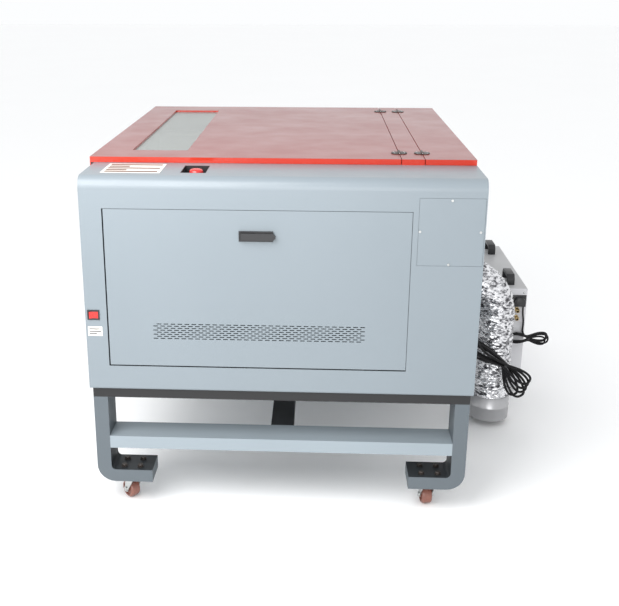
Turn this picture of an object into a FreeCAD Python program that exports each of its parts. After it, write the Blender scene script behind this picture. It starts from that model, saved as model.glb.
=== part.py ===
import FreeCAD, Part
import Sketcher
import math
import os
import re

Vec = FreeCAD.Vector

# A floor-standing laser cutter. +Z is up and Z = 0 is the floor, midway between the four castors.
# The operator stands at -X, the exhaust leaves at +X, and -Y is the end with the service door.

SIZES = {
    # cabinet
    "cab_wide": 1000, "cab_long": 1400, "cab_foot": 352, "cab_tall": 563,
    "skin": 2, "top_bend": 28, "foot_bend": 6,
    # lids
    "lid_near": -504, "lid_far": 574, "lid_lip": -511.5, "lid_thick": 15, "lid_skin": 2,
    "lid_hinge_x": 305.5, "cover_hinge_x": 366.5, "seam": 2, "rear_edge": 499.5,
    "glass_lo": -418, "glass_hi": -266, "glass_near": -395, "glass_far": 458, "glass_thick": 4,
    # leaf hinges on the lids
    "hinge_near": -411, "hinge_far": 460, "leaf_reach": 21, "leaf_wide": 36, "leaf_thick": 2.2,
    "barrel_r": 3.2, "pin_r": 1.5, "running": 0.05, "knuckle_gap": 0.4,
    # service door in the near end
    "door_lo": -440.5, "door_hi": 321.5, "door_foot": 421.3, "door_top": 834.5,
    "door_gap": 1.2, "door_foot_gap": 3.5, "door_flange": 12,
    "vent_x": -325, "vent_z": 495, "vent_pitch": 17.9, "vent_row": 5.6,
    "vent_long": 12, "vent_tall": 2.6, "vent_columns": 30, "vent_rows": 4,
    "door_axis_y": -695, "door_axis_z": 424.3, "door_barrel_r": 2.5, "door_pin_r": 1.2,
    # quarter-turn latch
    "latch_lo": -103.5, "latch_hi": -18.5, "latch_z": 770, "latch_tall": 26, "latch_thick": 4,
    "spindle_x": -31, "spindle_r": 5, "cam_reach": 78,
    # service panel and its screws
    "hatch_lo": 337, "hatch_hi": 496.5, "hatch_foot": 701, "hatch_top": 870, "hatch_skin": 1.5,
    # switch
    "switch_x": -478.25, "switch_z": 557.3, "bezel_wide": 31.5, "bezel_tall": 26.5,
    # emergency stop
    "stop_x": -219, "stop_y": -592, "well_lo": -254, "well_hi": -189, "well_near": -640,
    "well_far": -540, "well_deep": 38, "stop_r": 18, "stop_stem_r": 8,
    # chamber and tube bay
    "bay_wall": -480, "far_wall": 548, "floor_z": 500, "shelf_z": 760, "shelf_x": 340,
    # stand
    "stand_wide": 988, "stand_face": 688, "tube_deep": 90, "post_wide": 38, "rail_tall": 28,
    "beam_foot": 175, "beam_top": 210, "foot_low": 74, "foot_high": 109, "foot_long": 149,
    "foot_r": 48, "foot_inner_r": 12, "stretcher_wide": 62, "stretcher_x": 3.5,
    # castors
    "castor_x": 403, "castor_y": 643, "wheel_r": 25, "wheel_wide": 28, "trail": 19,
    "axle_r": 4, "kingpin_r": 5, "plate_wide": 60, "plate_thick": 3,
    # exhaust
    "port_y": -75, "port_z": 497, "duct_r": 61, "duct_bend": 130, "duct_level": 5, "spigot_end": 525,
    "collar_low": 20, "collar_high": 98,
    # leads
    "lead_r": 3.75, "thin_lead_r": 3, "gland_y": -168, "gland_z": 420, "gland_tip": 526,
    # laser tube, motion system and table
    "laser_r": 27.5, "laser_x": 432, "laser_z": 838, "rail_z": 852, "beam_x": 236,
    "bed_lo": -430, "bed_hi": 190, "bed_near": -438, "bed_far": 508, "bed_top": 740, "bed_deep": 26,
    "screw_r": 6,
    # cooling unit
    "cool_lo": 536, "cool_hi": 806, "cool_near": 152, "cool_far": 712, "cool_foot": 18, "cool_top": 380,
}

doc = FreeCAD.newDocument("laser_cutter")
sheet = doc.addObject("Spreadsheet::Sheet", "dim")
for row, (alias, number) in enumerate(SIZES.items(), 1):
    sheet.set(f"A{row}", alias)
    sheet.set(f"B{row}", str(number))
    sheet.setAlias(f"B{row}", alias)
doc.recompute()

nodes = []

X_AXIS = FreeCAD.Rotation(Vec(0, 1, 0), 90)
Y_AXIS = FreeCAD.Rotation(Vec(1, 0, 0), -90)
Z_AXIS = FreeCAD.Rotation()
ALONG = {"x": X_AXIS, "y": Y_AXIS, "z": Z_AXIS}

# Frequent places, as expressions on the sheet.
FACE_X = "(cab_wide / 2)"
FACE_Y = "(cab_long / 2)"
TOP = "(cab_foot + cab_tall)"
LID_TOP = "(cab_foot + cab_tall + lid_thick)"


def size(name):
    """The number in the sheet cell of that name."""
    return float(sheet.get(name))


def bind(obj, **sizes):
    """Tie properties to the sheet: every alias in the text becomes a reference to its cell."""
    for prop, text in sizes.items():
        prop = {"x": "Placement.Base.x", "y": "Placement.Base.y", "z": "Placement.Base.z"}.get(prop, prop)
        text = re.sub(r"[a-z][a-z_]+[a-z]\b", lambda m: "dim." + m[0] if m[0] in SIZES else m[0], str(text))
        obj.setExpression(prop, text)
    return obj


def block(x, y, z):
    """A box between pairs of expressions, lowest first."""
    box = doc.addObject("Part::Box", "block")
    return bind(box, Length=f"({x[1]}) - ({x[0]})", Width=f"({y[1]}) - ({y[0]})",
                Height=f"({z[1]}) - ({z[0]})", x=x[0], y=y[0], z=z[0])


def rod(axis, at, radius, length):
    """A cylinder that starts at a point and runs along an axis."""
    cylinder = doc.addObject("Part::Cylinder", "rod")
    cylinder.Placement.Rotation = ALONG[axis]
    return bind(cylinder, Radius=radius, Height=length, x=at[0], y=at[1], z=at[2])


def cone(axis, at, radius, end_radius, length):
    """A cone that starts at a point and runs along an axis."""
    taper = doc.addObject("Part::Cone", "cone")
    taper.Placement.Rotation = ALONG[axis]
    return bind(taper, Radius1=radius, Radius2=end_radius, Height=length, x=at[0], y=at[1], z=at[2])


def cut(base, *tools):
    """A shape less one or more others."""
    piece = doc.addObject("Part::Cut", "cut")
    piece.Base = base
    piece.Tool = tools[0] if len(tools) == 1 else group(*tools)
    return piece


def fuse(*shapes):
    """Shapes welded into one solid."""
    weld = doc.addObject("Part::MultiFuse", "fuse")
    weld.Shapes = list(shapes)
    weld.Refine = True
    return weld


def common(first, second):
    """What two shapes share."""
    piece = doc.addObject("Part::Common", "common")
    piece.Base = first
    piece.Tool = second
    return piece


def group(*shapes):
    """Separate solids kept as one object."""
    bunch = doc.addObject("Part::Compound", "group")
    bunch.Links = list(shapes)
    return bunch


def tube(axis, at, radius, bore, length):
    """A hollow cylinder."""
    return cut(rod(axis, at, radius, length), rod(axis, at, bore, length))


def node(name, obj):
    """Keep an object as a sub-part under its own name."""
    obj.Label = name
    nodes.append(obj)
    return obj


def outline(body, role, points, name):
    """A closed sketch of straight lines on one of a body's own origin planes."""
    sketch = body.newObject("Sketcher::SketchObject", name)
    plane = [feature for feature in body.Origin.OriginFeatures if feature.Role == role][0]
    sketch.AttachmentSupport = [(plane, "")]
    sketch.MapMode = "FlatFace"
    corners = [Vec(a, b, 0) for a, b in points]
    count = len(corners)
    for index in range(count):
        sketch.addGeometry(Part.LineSegment(corners[index], corners[(index + 1) % count]), False)
    return sketch


def rectangle(body, role, name, low, high):
    """A rectangle sketch whose four sides are tied to the sheet."""
    places = [(0, 0), (9, 0), (9, 9), (0, 9)]
    sketch = outline(body, role, places, name)
    for index in range(4):
        sketch.addConstraint(Sketcher.Constraint("Coincident", index, 2, (index + 1) % 4, 1))
    for index, way in enumerate(("Horizontal", "Vertical", "Horizontal", "Vertical")):
        sketch.addConstraint(Sketcher.Constraint(way, index))
    for point, corner in ((1, low), (2, high)):
        line = 0 if point == 1 else 1
        for kind, text in zip(("DistanceX", "DistanceY"), corner):
            spot = sketch.addConstraint(Sketcher.Constraint(kind, -1, 1, line, point, 1.0))
            bind(sketch, **{f"Constraints[{spot}]": text})
    return sketch


# Cabinet -------------------------------------------------------------------------------------

def end_shell(side, ledge_end):
    """An end of the cabinet: one sheet bent into a foot flange, the end face and the top ledge."""
    near = side < 0
    face = f"{side} * {FACE_Y}"

    def span(low, high):
        """A pair of distances inwards from the end face, as a Y range."""
        if near:
            return f"{face} + ({low})", f"{face} + ({high})"
        return f"{face} - ({high})", f"{face} - ({low})"

    across = (f"-{FACE_X}", FACE_X)
    plate = block(across, span("0", "skin"), ("cab_foot + foot_bend", f"{TOP} - top_bend"))
    inner = f"abs({ledge_end} - ({face}))"
    ledge = block(across, span("top_bend", inner), (f"{TOP} - skin", TOP))
    flange = block(across, span("foot_bend", "42"), ("cab_foot", "cab_foot + skin"))
    bends = []
    for radius, height, above in (("top_bend", f"{TOP} - top_bend", True),
                                  ("foot_bend", "cab_foot + foot_bend", False)):
        middle = f"{face} - {side} * {radius}"
        ring = tube("x", (f"-{FACE_X}", middle, height), radius, f"{radius} - skin", "cab_wide")
        tall = (height, f"{height} + {radius}") if above else (f"{height} - {radius}", height)
        bends.append(common(ring, block(across, span("0", radius), tall)))
    return fuse(plate, ledge, flange, *bends)


def cabinet():
    near = end_shell(-1, "bay_wall")
    wall_y = (f"-{FACE_Y} - 1", f"-{FACE_Y} + skin + 1")
    door_hole = block(("door_lo - door_foot_gap", "door_hi + door_gap"), wall_y,
                      ("door_foot - door_foot_gap", "door_top + door_gap"))
    hatch_hole = block(("hatch_lo - 0.6", "hatch_hi + 0.6"), wall_y, ("hatch_foot - 0.6", "hatch_top + 0.6"))
    switch_hole = block(("switch_x - 14", "switch_x + 14"), wall_y, ("switch_z - 11", "switch_z + 11"))
    well_hole = block(("well_lo", "well_hi"), ("well_near", "well_far"), (f"{TOP} - skin - 1", f"{TOP} + 1"))
    opened = cut(near, door_hole, hatch_hole, switch_hole, well_hole)
    inside = (f"-{FACE_Y} + skin", f"-{FACE_Y} + 2 * skin")
    middle_x = "(hatch_lo + hatch_hi) / 2"
    middle_z = "(hatch_foot + hatch_top) / 2"
    tabs = [
        block((f"{middle_x} - 12", f"{middle_x} + 12"), inside, ("hatch_foot - 10", "hatch_foot + 14")),
        block((f"{middle_x} - 12", f"{middle_x} + 12"), inside, ("hatch_top - 14", "hatch_top + 10")),
        block(("hatch_lo - 10", "hatch_lo + 14"), inside, (f"{middle_z} - 12", f"{middle_z} + 12")),
        block(("hatch_hi - 14", f"{FACE_X} - skin"), inside, (f"{middle_z} - 12", f"{middle_z} + 12")),
    ]
    node("near_end_panel", fuse(opened, *tabs))
    node("far_end_panel", end_shell(1, "far_wall + skin"))

    between = (f"-{FACE_Y} + skin", f"{FACE_Y} - skin")
    tall = ("cab_foot + skin", f"{TOP} - skin")
    front = block((f"-{FACE_X}", f"-{FACE_X} + skin"), between, tall)
    flange = block((f"-{FACE_X}", "-455"), ("bay_wall", "far_wall"), (f"{TOP} - skin", TOP))
    node("front_panel", cut(fuse(front, flange), *corner_rounds("-1")))

    rear = block((f"{FACE_X} - skin", FACE_X), between, tall)
    flange = block((f"{FACE_X} - 28", FACE_X), ("bay_wall", "far_wall"), (f"{TOP} - skin", TOP))
    port = rod("x", (f"{FACE_X} - 40", "port_y", "port_z"), "duct_r - 3", "80")
    inlet = rod("x", (f"{FACE_X} - 10", "gland_y", "gland_z"), "8.2", "20")
    node("rear_panel", cut(fuse(rear, flange), port, inlet, *corner_rounds("1")))

    node("base_pan", block((f"-{FACE_X} + skin", f"{FACE_X} - skin"), (f"-{FACE_Y} + 43", f"{FACE_Y} - 43"),
                           ("cab_foot", "cab_foot + skin")))
    side = (f"-{FACE_X} + skin", f"{FACE_X} - skin")
    upright = ("cab_foot + skin", f"{TOP} - skin")
    node("chamber_walls", group(
        block(side, ("bay_wall", "bay_wall + skin"), upright),
        block(side, ("far_wall", "far_wall + skin"), upright)))
    inner = ("bay_wall + skin", "far_wall")
    node("chamber_floor", block(side, inner, ("floor_z", "floor_z + skin")))
    shelf = block(("shelf_x", f"{FACE_X} - skin"), inner, ("shelf_z", "shelf_z + skin"))
    screen = block(("shelf_x", "shelf_x + skin"), inner, ("shelf_z + skin", f"{TOP} - 40"))
    node("tube_bay_shelf", fuse(shelf, screen))


def corner_rounds(side):
    """What a front or rear panel gives up to the rounded bends of the two end shells."""
    cuts = []
    x = (f"{side} * {FACE_X} - 40", f"{side} * {FACE_X} + 40")
    for end in ("-1", "1"):
        middle = f"{end} * ({FACE_Y} - top_bend)"
        height = f"{TOP} - top_bend"
        y = (f"min({middle}; {end} * {FACE_Y})", f"max({middle}; {end} * {FACE_Y})")
        corner = block(x, y, (height, f"{TOP} + 1"))
        keep = rod("x", (x[0], middle, height), "top_bend - skin", "80")
        cuts.append(cut(corner, keep))
        foot = f"{end} * ({FACE_Y} - foot_bend)"
        low = "cab_foot + foot_bend"
        y = (f"min({foot}; {end} * {FACE_Y})", f"max({foot}; {end} * {FACE_Y})")
        bend = rod("x", (x[0], foot, low), "foot_bend - skin", "80")
        cuts.append(cut(block(x, y, ("cab_foot", low)), bend))
    return cuts


# Lids ------------------------------------------------------------------------------------------

def tray(x, y, lip_low):
    """A lid pressed from sheet: a flat top with a skirt, open below, its front lip hanging lower."""
    body = block(x, y, (f"{TOP} + 0.4", LID_TOP))
    hollow = block((f"{x[0]} + lid_skin", f"{x[1]} - lid_skin"), (f"{y[0]} + lid_skin", f"{y[1]} - lid_skin"),
                   (TOP, f"{LID_TOP} - lid_skin"))
    shell = cut(body, hollow)
    if lip_low is None:
        return shell
    lip = block((x[0], f"{x[0]} + lid_skin"), y, (lip_low, LID_TOP))
    return fuse(shell, lip)


def lids():
    y = ("lid_near", "lid_far")
    shell = tray(("lid_lip", "lid_hinge_x - seam / 2"), y, f"{TOP} - 10")
    glass_x = ("glass_lo", "glass_hi")
    glass_y = ("glass_near", "glass_far")
    hole = block(glass_x, glass_y, (TOP, f"{LID_TOP} + 1"))
    sunk = (f"{LID_TOP} - 9", f"{LID_TOP} - lid_skin")
    rim = block(("glass_lo - 12", "glass_hi + 12"), ("glass_near - 12", "glass_far + 12"), sunk)
    # the pane lies on a ledge inside the rim, below the lid's top
    seat = block(("glass_lo - 8", "glass_hi + 8"), ("glass_near - 8", "glass_far + 8"),
                 (f"{LID_TOP} - 7 - glass_thick / 2", f"{LID_TOP} - 7 + glass_thick / 2"))
    node("front_lid", cut(fuse(shell, rim), hole, seat))
    node("lid_window", block(("glass_lo - 7.7", "glass_hi + 7.7"), ("glass_near - 7.7", "glass_far + 7.7"),
                             (f"{LID_TOP} - 7 - glass_thick / 2", f"{LID_TOP} - 7 + glass_thick / 2")))
    strip_x = ("lid_hinge_x + seam / 2", "cover_hinge_x - seam / 2")
    strip = block(strip_x, y, (TOP, LID_TOP))
    under = block((f"{strip_x[0]} + lid_skin", f"{strip_x[1]} - lid_skin"),
                  ("lid_near + lid_skin", "lid_far - lid_skin"),
                  (TOP, f"{LID_TOP} - lid_skin"))
    bridge = block((f"{strip_x[0]} + 4", f"{strip_x[1]} - 4"), ("bay_wall + skin", "far_wall"),
                   (f"{TOP} - 22", f"{LID_TOP} - lid_skin"))
    channel = block((f"{strip_x[0]} + 7", f"{strip_x[1]} - 7"), ("bay_wall", "far_wall + skin"),
                    (f"{TOP} - 23", f"{LID_TOP} - 5"))
    node("centre_strip", fuse(cut(strip, under), cut(bridge, channel)))
    node("rear_cover", tray(("cover_hinge_x + seam / 2", "rear_edge"), y, None))


def leaf(line, side, y, outer):
    """One leaf of a lid hinge: a rounded plate and its knuckles, on one side of the pin."""
    height = f"{LID_TOP} + barrel_r + 0.2"
    axis = f"{line}"
    root = f"{axis} + {side} * (barrel_r + 0.4)"
    tip = f"{axis} + {side} * leaf_reach"
    low, high = (root, tip) if side > 0 else (tip, root)
    plate_z = (LID_TOP, f"{LID_TOP} + leaf_thick")
    plate = block((low, high), (f"{y} - leaf_wide / 2", f"{y} + leaf_wide / 2"), plate_z)
    oval = rod("z", (f"{axis} + {side} * (leaf_reach - leaf_wide * 0.62)", y, LID_TOP), "leaf_wide * 0.62",
               "leaf_thick")
    plate = common(plate, oval)
    if outer:
        spans = [(f"{y} - leaf_wide / 2 + 1", f"{y} - 3 - knuckle_gap"),
                 (f"{y} + 3 + knuckle_gap", f"{y} + leaf_wide / 2 - 1")]
    else:
        spans = [(f"{y} - 3", f"{y} + 3")]
    pieces = [plate]
    for span in spans:
        barrel = rod("y", (axis, span[0], height), "barrel_r", f"({span[1]}) - ({span[0]})")
        web = (f"{axis} + {side} * 8", axis) if side < 0 else (axis, f"{axis} + {side} * 8")
        pieces.append(fuse(barrel, block(web, span, plate_z)))
    solid = fuse(*pieces)
    bore = rod("y", (axis, f"{y} - leaf_wide", height), "pin_r + running", "2 * leaf_wide")
    return cut(solid, bore)


def hinges():
    places = ("hinge_near", "hinge_far")
    node("lid_hinge_leaves", group(*[leaf("lid_hinge_x", -1, y, True) for y in places]))
    node("cover_hinge_leaves", group(*[leaf("cover_hinge_x", 1, y, True) for y in places]))
    fixed = [leaf("lid_hinge_x", 1, y, False) for y in places]
    fixed += [leaf("cover_hinge_x", -1, y, False) for y in places]
    node("fixed_hinge_leaves", group(*fixed))
    pins = []
    for line in ("lid_hinge_x", "cover_hinge_x"):
        for y in places:
            pins.append(rod("y", (line, f"{y} - leaf_wide / 2", f"{LID_TOP} + barrel_r + 0.2"), "pin_r",
                            "leaf_wide"))
    for x in door_hinge_places:
        pins.append(rod("x", (f"{x} - 21", "door_axis_y", "door_axis_z"), "door_pin_r", "42"))
    node("hinge_pins", group(*pins))


# Service door ------------------------------------------------------------------------------------

door_hinge_places = ("door_lo + 90", "door_hi - 90")


def service_door():
    body = doc.addObject("PartDesign::Body", "door_body")
    sketch = rectangle(body, "XZ_Plane", "door_edge", ("door_lo", "door_foot"), ("door_hi", "door_top"))
    sheet_pad = body.newObject("PartDesign::Pad", "door_sheet")
    sheet_pad.Profile = sketch
    sheet_pad.Reversed = True
    bind(sheet_pad, Length="skin")
    doc.recompute()
    full = body.Shape.Volume
    first = rectangle(body, "XZ_Plane", "slot_low", ("vent_x", "vent_z"),
                      ("vent_x + vent_long", "vent_z + vent_tall"))
    second = rectangle(body, "XZ_Plane", "slot_high", ("vent_x + vent_pitch / 2", "vent_z + vent_row"),
                       ("vent_x + vent_pitch / 2 + vent_long", "vent_z + vent_row + vent_tall"))
    pockets = []
    for slot in (first, second):
        pocket = body.newObject("PartDesign::Pocket", slot.Name + "_cut")
        pocket.Profile = slot
        pocket.Type = 1
        pocket.Midplane = True
        pockets.append(pocket)
    doc.recompute()
    vents = body.newObject("PartDesign::MultiTransform", "vents")
    vents.Originals = pockets
    across = body.newObject("PartDesign::LinearPattern", "vents_across")
    across.Direction = (first, ["H_Axis"])
    bind(across, Length="vent_pitch * (vent_columns - 1)", Occurrences="vent_columns")
    upwards = body.newObject("PartDesign::LinearPattern", "vents_up")
    upwards.Direction = (first, ["V_Axis"])
    bind(upwards, Length="2 * vent_row * (vent_rows - 1)", Occurrences="vent_rows")
    vents.Transformations = [across, upwards]
    body.Tip = vents
    bind(body, y=f"-{FACE_Y}")
    doc.recompute()
    slots = size("vent_columns") * size("vent_rows") * 2
    holes = slots * size("vent_long") * size("vent_tall") * size("skin")
    print("vent slots cut", round(full - body.Shape.Volume), "of", round(holes))
    back = (f"-{FACE_Y} + skin", f"-{FACE_Y} + skin + door_flange")
    rise = ("door_foot + 6", "door_top - 2")
    left = block(("door_lo", "door_lo + skin"), back, rise)
    right = block(("door_hi - skin", "door_hi"), back, rise)
    hole = rod("y", ("spindle_x", f"-{FACE_Y} - 5", "latch_z"), "spindle_r + 1", "20")
    node("side_door", cut(fuse(body, left, right), hole))

    # Each hinge turns on a pin that two arms of the cabinet's bracket hold, one at each end.
    leaves = []
    brackets = []
    for x in door_hinge_places:
        plate = block((f"{x} - 14", f"{x} + 14"), (f"-{FACE_Y} + skin", f"-{FACE_Y} + 2 * skin"),
                      ("door_axis_z", "door_axis_z + 24"))
        barrel = rod("x", (f"{x} - 14", "door_axis_y", "door_axis_z"), "door_barrel_r", "28")
        bore = rod("x", (f"{x} - 20", "door_axis_y", "door_axis_z"), "door_pin_r + running", "40")
        leaves.append(cut(fuse(plate, barrel), bore))
        for side in (-1, 1):
            inner = f"{x} + {side} * 14.4"
            outer = f"{x} + {side} * 20.4"
            span = (outer, inner) if side < 0 else (inner, outer)
            eye = rod("x", (span[0], "door_axis_y", "door_axis_z"), "door_barrel_r", "6")
            arm = block(span, ("door_axis_y", "door_axis_y + 11"), ("door_axis_z - 1.5", "door_axis_z + 1.5"))
            drop = block(span, ("door_axis_y + 8", "door_axis_y + 11"),
                         ("door_foot - 26", "door_axis_z + 1.5"))
            foot = block(span, (f"-{FACE_Y} + skin", "door_axis_y + 11"),
                         ("door_foot - 26", "door_foot - 23"))
            arm_bore = rod("x", (f"{x} - 25", "door_axis_y", "door_axis_z"), "door_pin_r", "50")
            brackets.append(cut(fuse(eye, arm, drop, foot), arm_bore))
    node("door_hinge_leaves", group(*leaves))
    node("door_hinge_brackets", group(*brackets))


def latch():
    front = f"(-{FACE_Y} - latch_thick)"
    housing = block(("latch_lo", "latch_hi"), (front, f"-{FACE_Y}"),
                    ("latch_z - latch_tall / 2", "latch_z + latch_tall / 2"))
    dish = block(("latch_lo + 3", "latch_lo + 40"), (f"{front} - 1", f"{front} + 2"),
                 ("latch_z - latch_tall / 2 + 3", "latch_z + latch_tall / 2 - 3"))
    bore = rod("y", ("spindle_x", f"{front} - 1", "latch_z"), "spindle_r + running", "20")
    node("latch_housing", cut(housing, dish, bore))
    grip_y = (f"{front} - 7", f"{front} - 0.4")
    grip = block(("latch_lo + 5", "latch_hi"), grip_y, ("latch_z - 9", "latch_z + 9"))
    point = doc.addObject("Part::Wedge", "latch_point")
    point.Placement.Rotation = FreeCAD.Rotation(Vec(0, 0, 1), -90)
    bind(point, Xmin="0", Xmax="6.6", Zmin="0", Zmax="18", X2min="0", X2max="6.6", Z2min="6", Z2max="12",
         Ymin="0", Ymax="6", x="latch_hi", y=f"{front} - 0.4", z="latch_z - 9")
    spindle = rod("y", ("spindle_x", f"{front} - 1", "latch_z"), "spindle_r", "14")
    node("latch_handle", fuse(grip, point, spindle))
    cam_y = f"{front} + 10.2"
    cam = block(("spindle_x - cam_reach", "spindle_x + 9"), (cam_y, f"{cam_y} + 3"),
                ("latch_z - 9", "latch_z + 9"))
    hole = rod("y", ("spindle_x", f"{front} - 5", "latch_z"), "spindle_r", "40")
    node("latch_cam", cut(cam, hole))


def hatch():
    y = (f"-{FACE_Y}", f"-{FACE_Y} + hatch_skin")
    plate = block(("hatch_lo", "hatch_hi"), y, ("hatch_foot", "hatch_top"))
    places = [("415.2", "hatch_top - 5"), ("340.6", "787"), ("488", "787"), ("414", "hatch_foot + 3.5")]
    holes = []
    screws = []
    for x, z in places:
        holes.append(rod("y", (x, f"-{FACE_Y} - 1", z), "1.7", "4"))
        head = rod("y", (x, f"-{FACE_Y} - 1.6", z), "3", "1.6")
        shank = rod("y", (x, f"-{FACE_Y} - 0.2", z), "1.5", "1.7")
        slot = block((f"{x} - 2", f"{x} + 2"), (f"-{FACE_Y} - 1.7", f"-{FACE_Y} - 0.9"),
                     (f"{z} - 0.4", f"{z} + 0.4"))
        screws.append(cut(fuse(head, shank), slot))
    node("service_panel", cut(plate, *holes))
    node("panel_screws", group(*screws))


# Controls ----------------------------------------------------------------------------------------

def controls():
    outer = block(("well_lo", "well_hi"), ("well_near", "well_far"), (f"{TOP} - well_deep", TOP))
    rim = block(("well_lo - 7", "well_hi + 7"), ("well_near - 7", "well_far + 7"),
                (f"{TOP} - skin - 2", f"{TOP} - skin"))
    hollow = block(("well_lo + 1.5", "well_hi - 1.5"), ("well_near + 1.5", "well_far - 1.5"),
                   (f"{TOP} - well_deep + 1.5", f"{TOP} + 1"))
    node("estop_well", cut(fuse(outer, rim), hollow))
    deck = f"({TOP} - well_deep + 1.5)"
    collar = rod("z", ("stop_x", "stop_y", deck), "stop_r - 2", "17")
    bore = rod("z", ("stop_x", "stop_y", f"{deck} - 1"), "stop_stem_r + running", "20")
    node("estop_collar", cut(collar, bore))
    stem = rod("z", ("stop_x", "stop_y", f"{deck} + 7"), "stop_stem_r", "18")
    neck = cone("z", ("stop_x", "stop_y", f"{deck} + 23.5"), "stop_r - 6", "stop_r", "6")
    cap = rod("z", ("stop_x", "stop_y", f"{deck} + 29.5"), "stop_r", "6")
    crown = cone("z", ("stop_x", "stop_y", f"{deck} + 35.5"), "stop_r", "stop_r - 5", "3")
    node("estop_head", fuse(stem, neck, cap, crown))

    flange = block(("switch_x - bezel_wide / 2", "switch_x + bezel_wide / 2"),
                   (f"-{FACE_Y} - 2", f"-{FACE_Y}"),
                   ("switch_z - bezel_tall / 2", "switch_z + bezel_tall / 2"))
    case = block(("switch_x - 13.8", "switch_x + 13.8"), (f"-{FACE_Y} - 1", f"-{FACE_Y} + 24"),
                 ("switch_z - 10.8", "switch_z + 10.8"))
    pocket = block(("switch_x - 12.4", "switch_x + 12.4"), (f"-{FACE_Y} - 3", f"-{FACE_Y} + 14"),
                   ("switch_z - 9", "switch_z + 9"))
    node("switch_bezel", cut(fuse(flange, case), pocket))
    body = doc.addObject("PartDesign::Body", "rocker_body")
    profile = outline(body, "XY_Plane", [(-11.4, -5.2), (0, -2.6), (11.4, -5.2), (11.4, -1), (4, 5),
                                         (-4, 5), (-11.4, -1)],
                      "rocker_profile")
    pad = body.newObject("PartDesign::Pad", "rocker_pad")
    pad.Profile = profile
    pad.Midplane = True
    pad.Length = 17.4
    body.Placement.Rotation = FreeCAD.Rotation(Vec(0, 0, 1), 8)
    bind(body, x="switch_x", y=f"-{FACE_Y} + 1", z="switch_z")
    node("switch_rocker", body)


# Stand -------------------------------------------------------------------------------------------

def stand():
    posts = []
    feet = []
    half = "(stand_wide / 2)"
    for end in (-1, 1):
        deep = ("-stand_face", "-stand_face + tube_deep")
        if end > 0:
            deep = ("stand_face - tube_deep", "stand_face")
        for side in (-1, 1):
            outer = f"{side} * {half}"
            inner = f"{side} * ({half} - post_wide)"
            x = (outer, inner) if side < 0 else (inner, outer)
            corner_z = "(foot_low + foot_r)"
            posts.append(block(x, deep, (corner_z, "cab_foot - rail_tall")))
            # the foot turns inwards through a rounded outer corner
            turn_x = f"{side} * ({half} - foot_r)"
            tip = f"{side} * ({half} - foot_long)"
            toe = (turn_x, tip) if side < 0 else (tip, turn_x)
            heel = (outer, turn_x) if side < 0 else (turn_x, outer)
            round_heel = common(rod("y", (turn_x, deep[0], corner_z), "foot_r", "tube_deep"),
                                block(heel, deep, ("foot_low", corner_z)))
            bar = block(toe, deep, ("foot_low", "foot_high"))
            notch_x = f"{side} * ({half} - post_wide - foot_inner_r)"
            notch = (inner, notch_x) if side < 0 else (notch_x, inner)
            fill = cut(block(notch, deep, ("foot_high", "foot_high + foot_inner_r")),
                       rod("y", (notch_x, deep[0], "foot_high + foot_inner_r"), "foot_inner_r", "tube_deep"))
            clear = block((turn_x, inner) if side > 0 else (inner, turn_x), deep,
                          ("foot_high", f"{corner_z} + 1"))
            bolts = []
            for dx in (-22, 22):
                for dy in (-22, 22):
                    bolts.append(rod("z", (f"{side} * castor_x + {dx}", f"{end} * castor_y + {dy}",
                                           "foot_low - 1"),
                                     "4.2", "foot_high - foot_low + 2"))
            feet.append(cut(fuse(cut(fuse(round_heel, bar), clear), fill), *bolts))
    node("stand_posts", group(*posts))
    node("stand_feet", group(*feet))
    beams = []
    for end in (-1, 1):
        deep = ("-stand_face", "-stand_face + tube_deep")
        if end > 0:
            deep = ("stand_face - tube_deep", "stand_face")
        beams.append(block((f"-{half} + post_wide", f"{half} - post_wide"), deep, ("beam_foot", "beam_top")))
        beams.append(block((f"-{half}", half), deep, ("cab_foot - rail_tall", "cab_foot")))
    beams.append(block(("stretcher_x - stretcher_wide / 2", "stretcher_x + stretcher_wide / 2"),
                       ("-stand_face + tube_deep", "stand_face - tube_deep"), ("beam_foot", "beam_top")))
    node("stand_beams", group(*beams))


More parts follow.
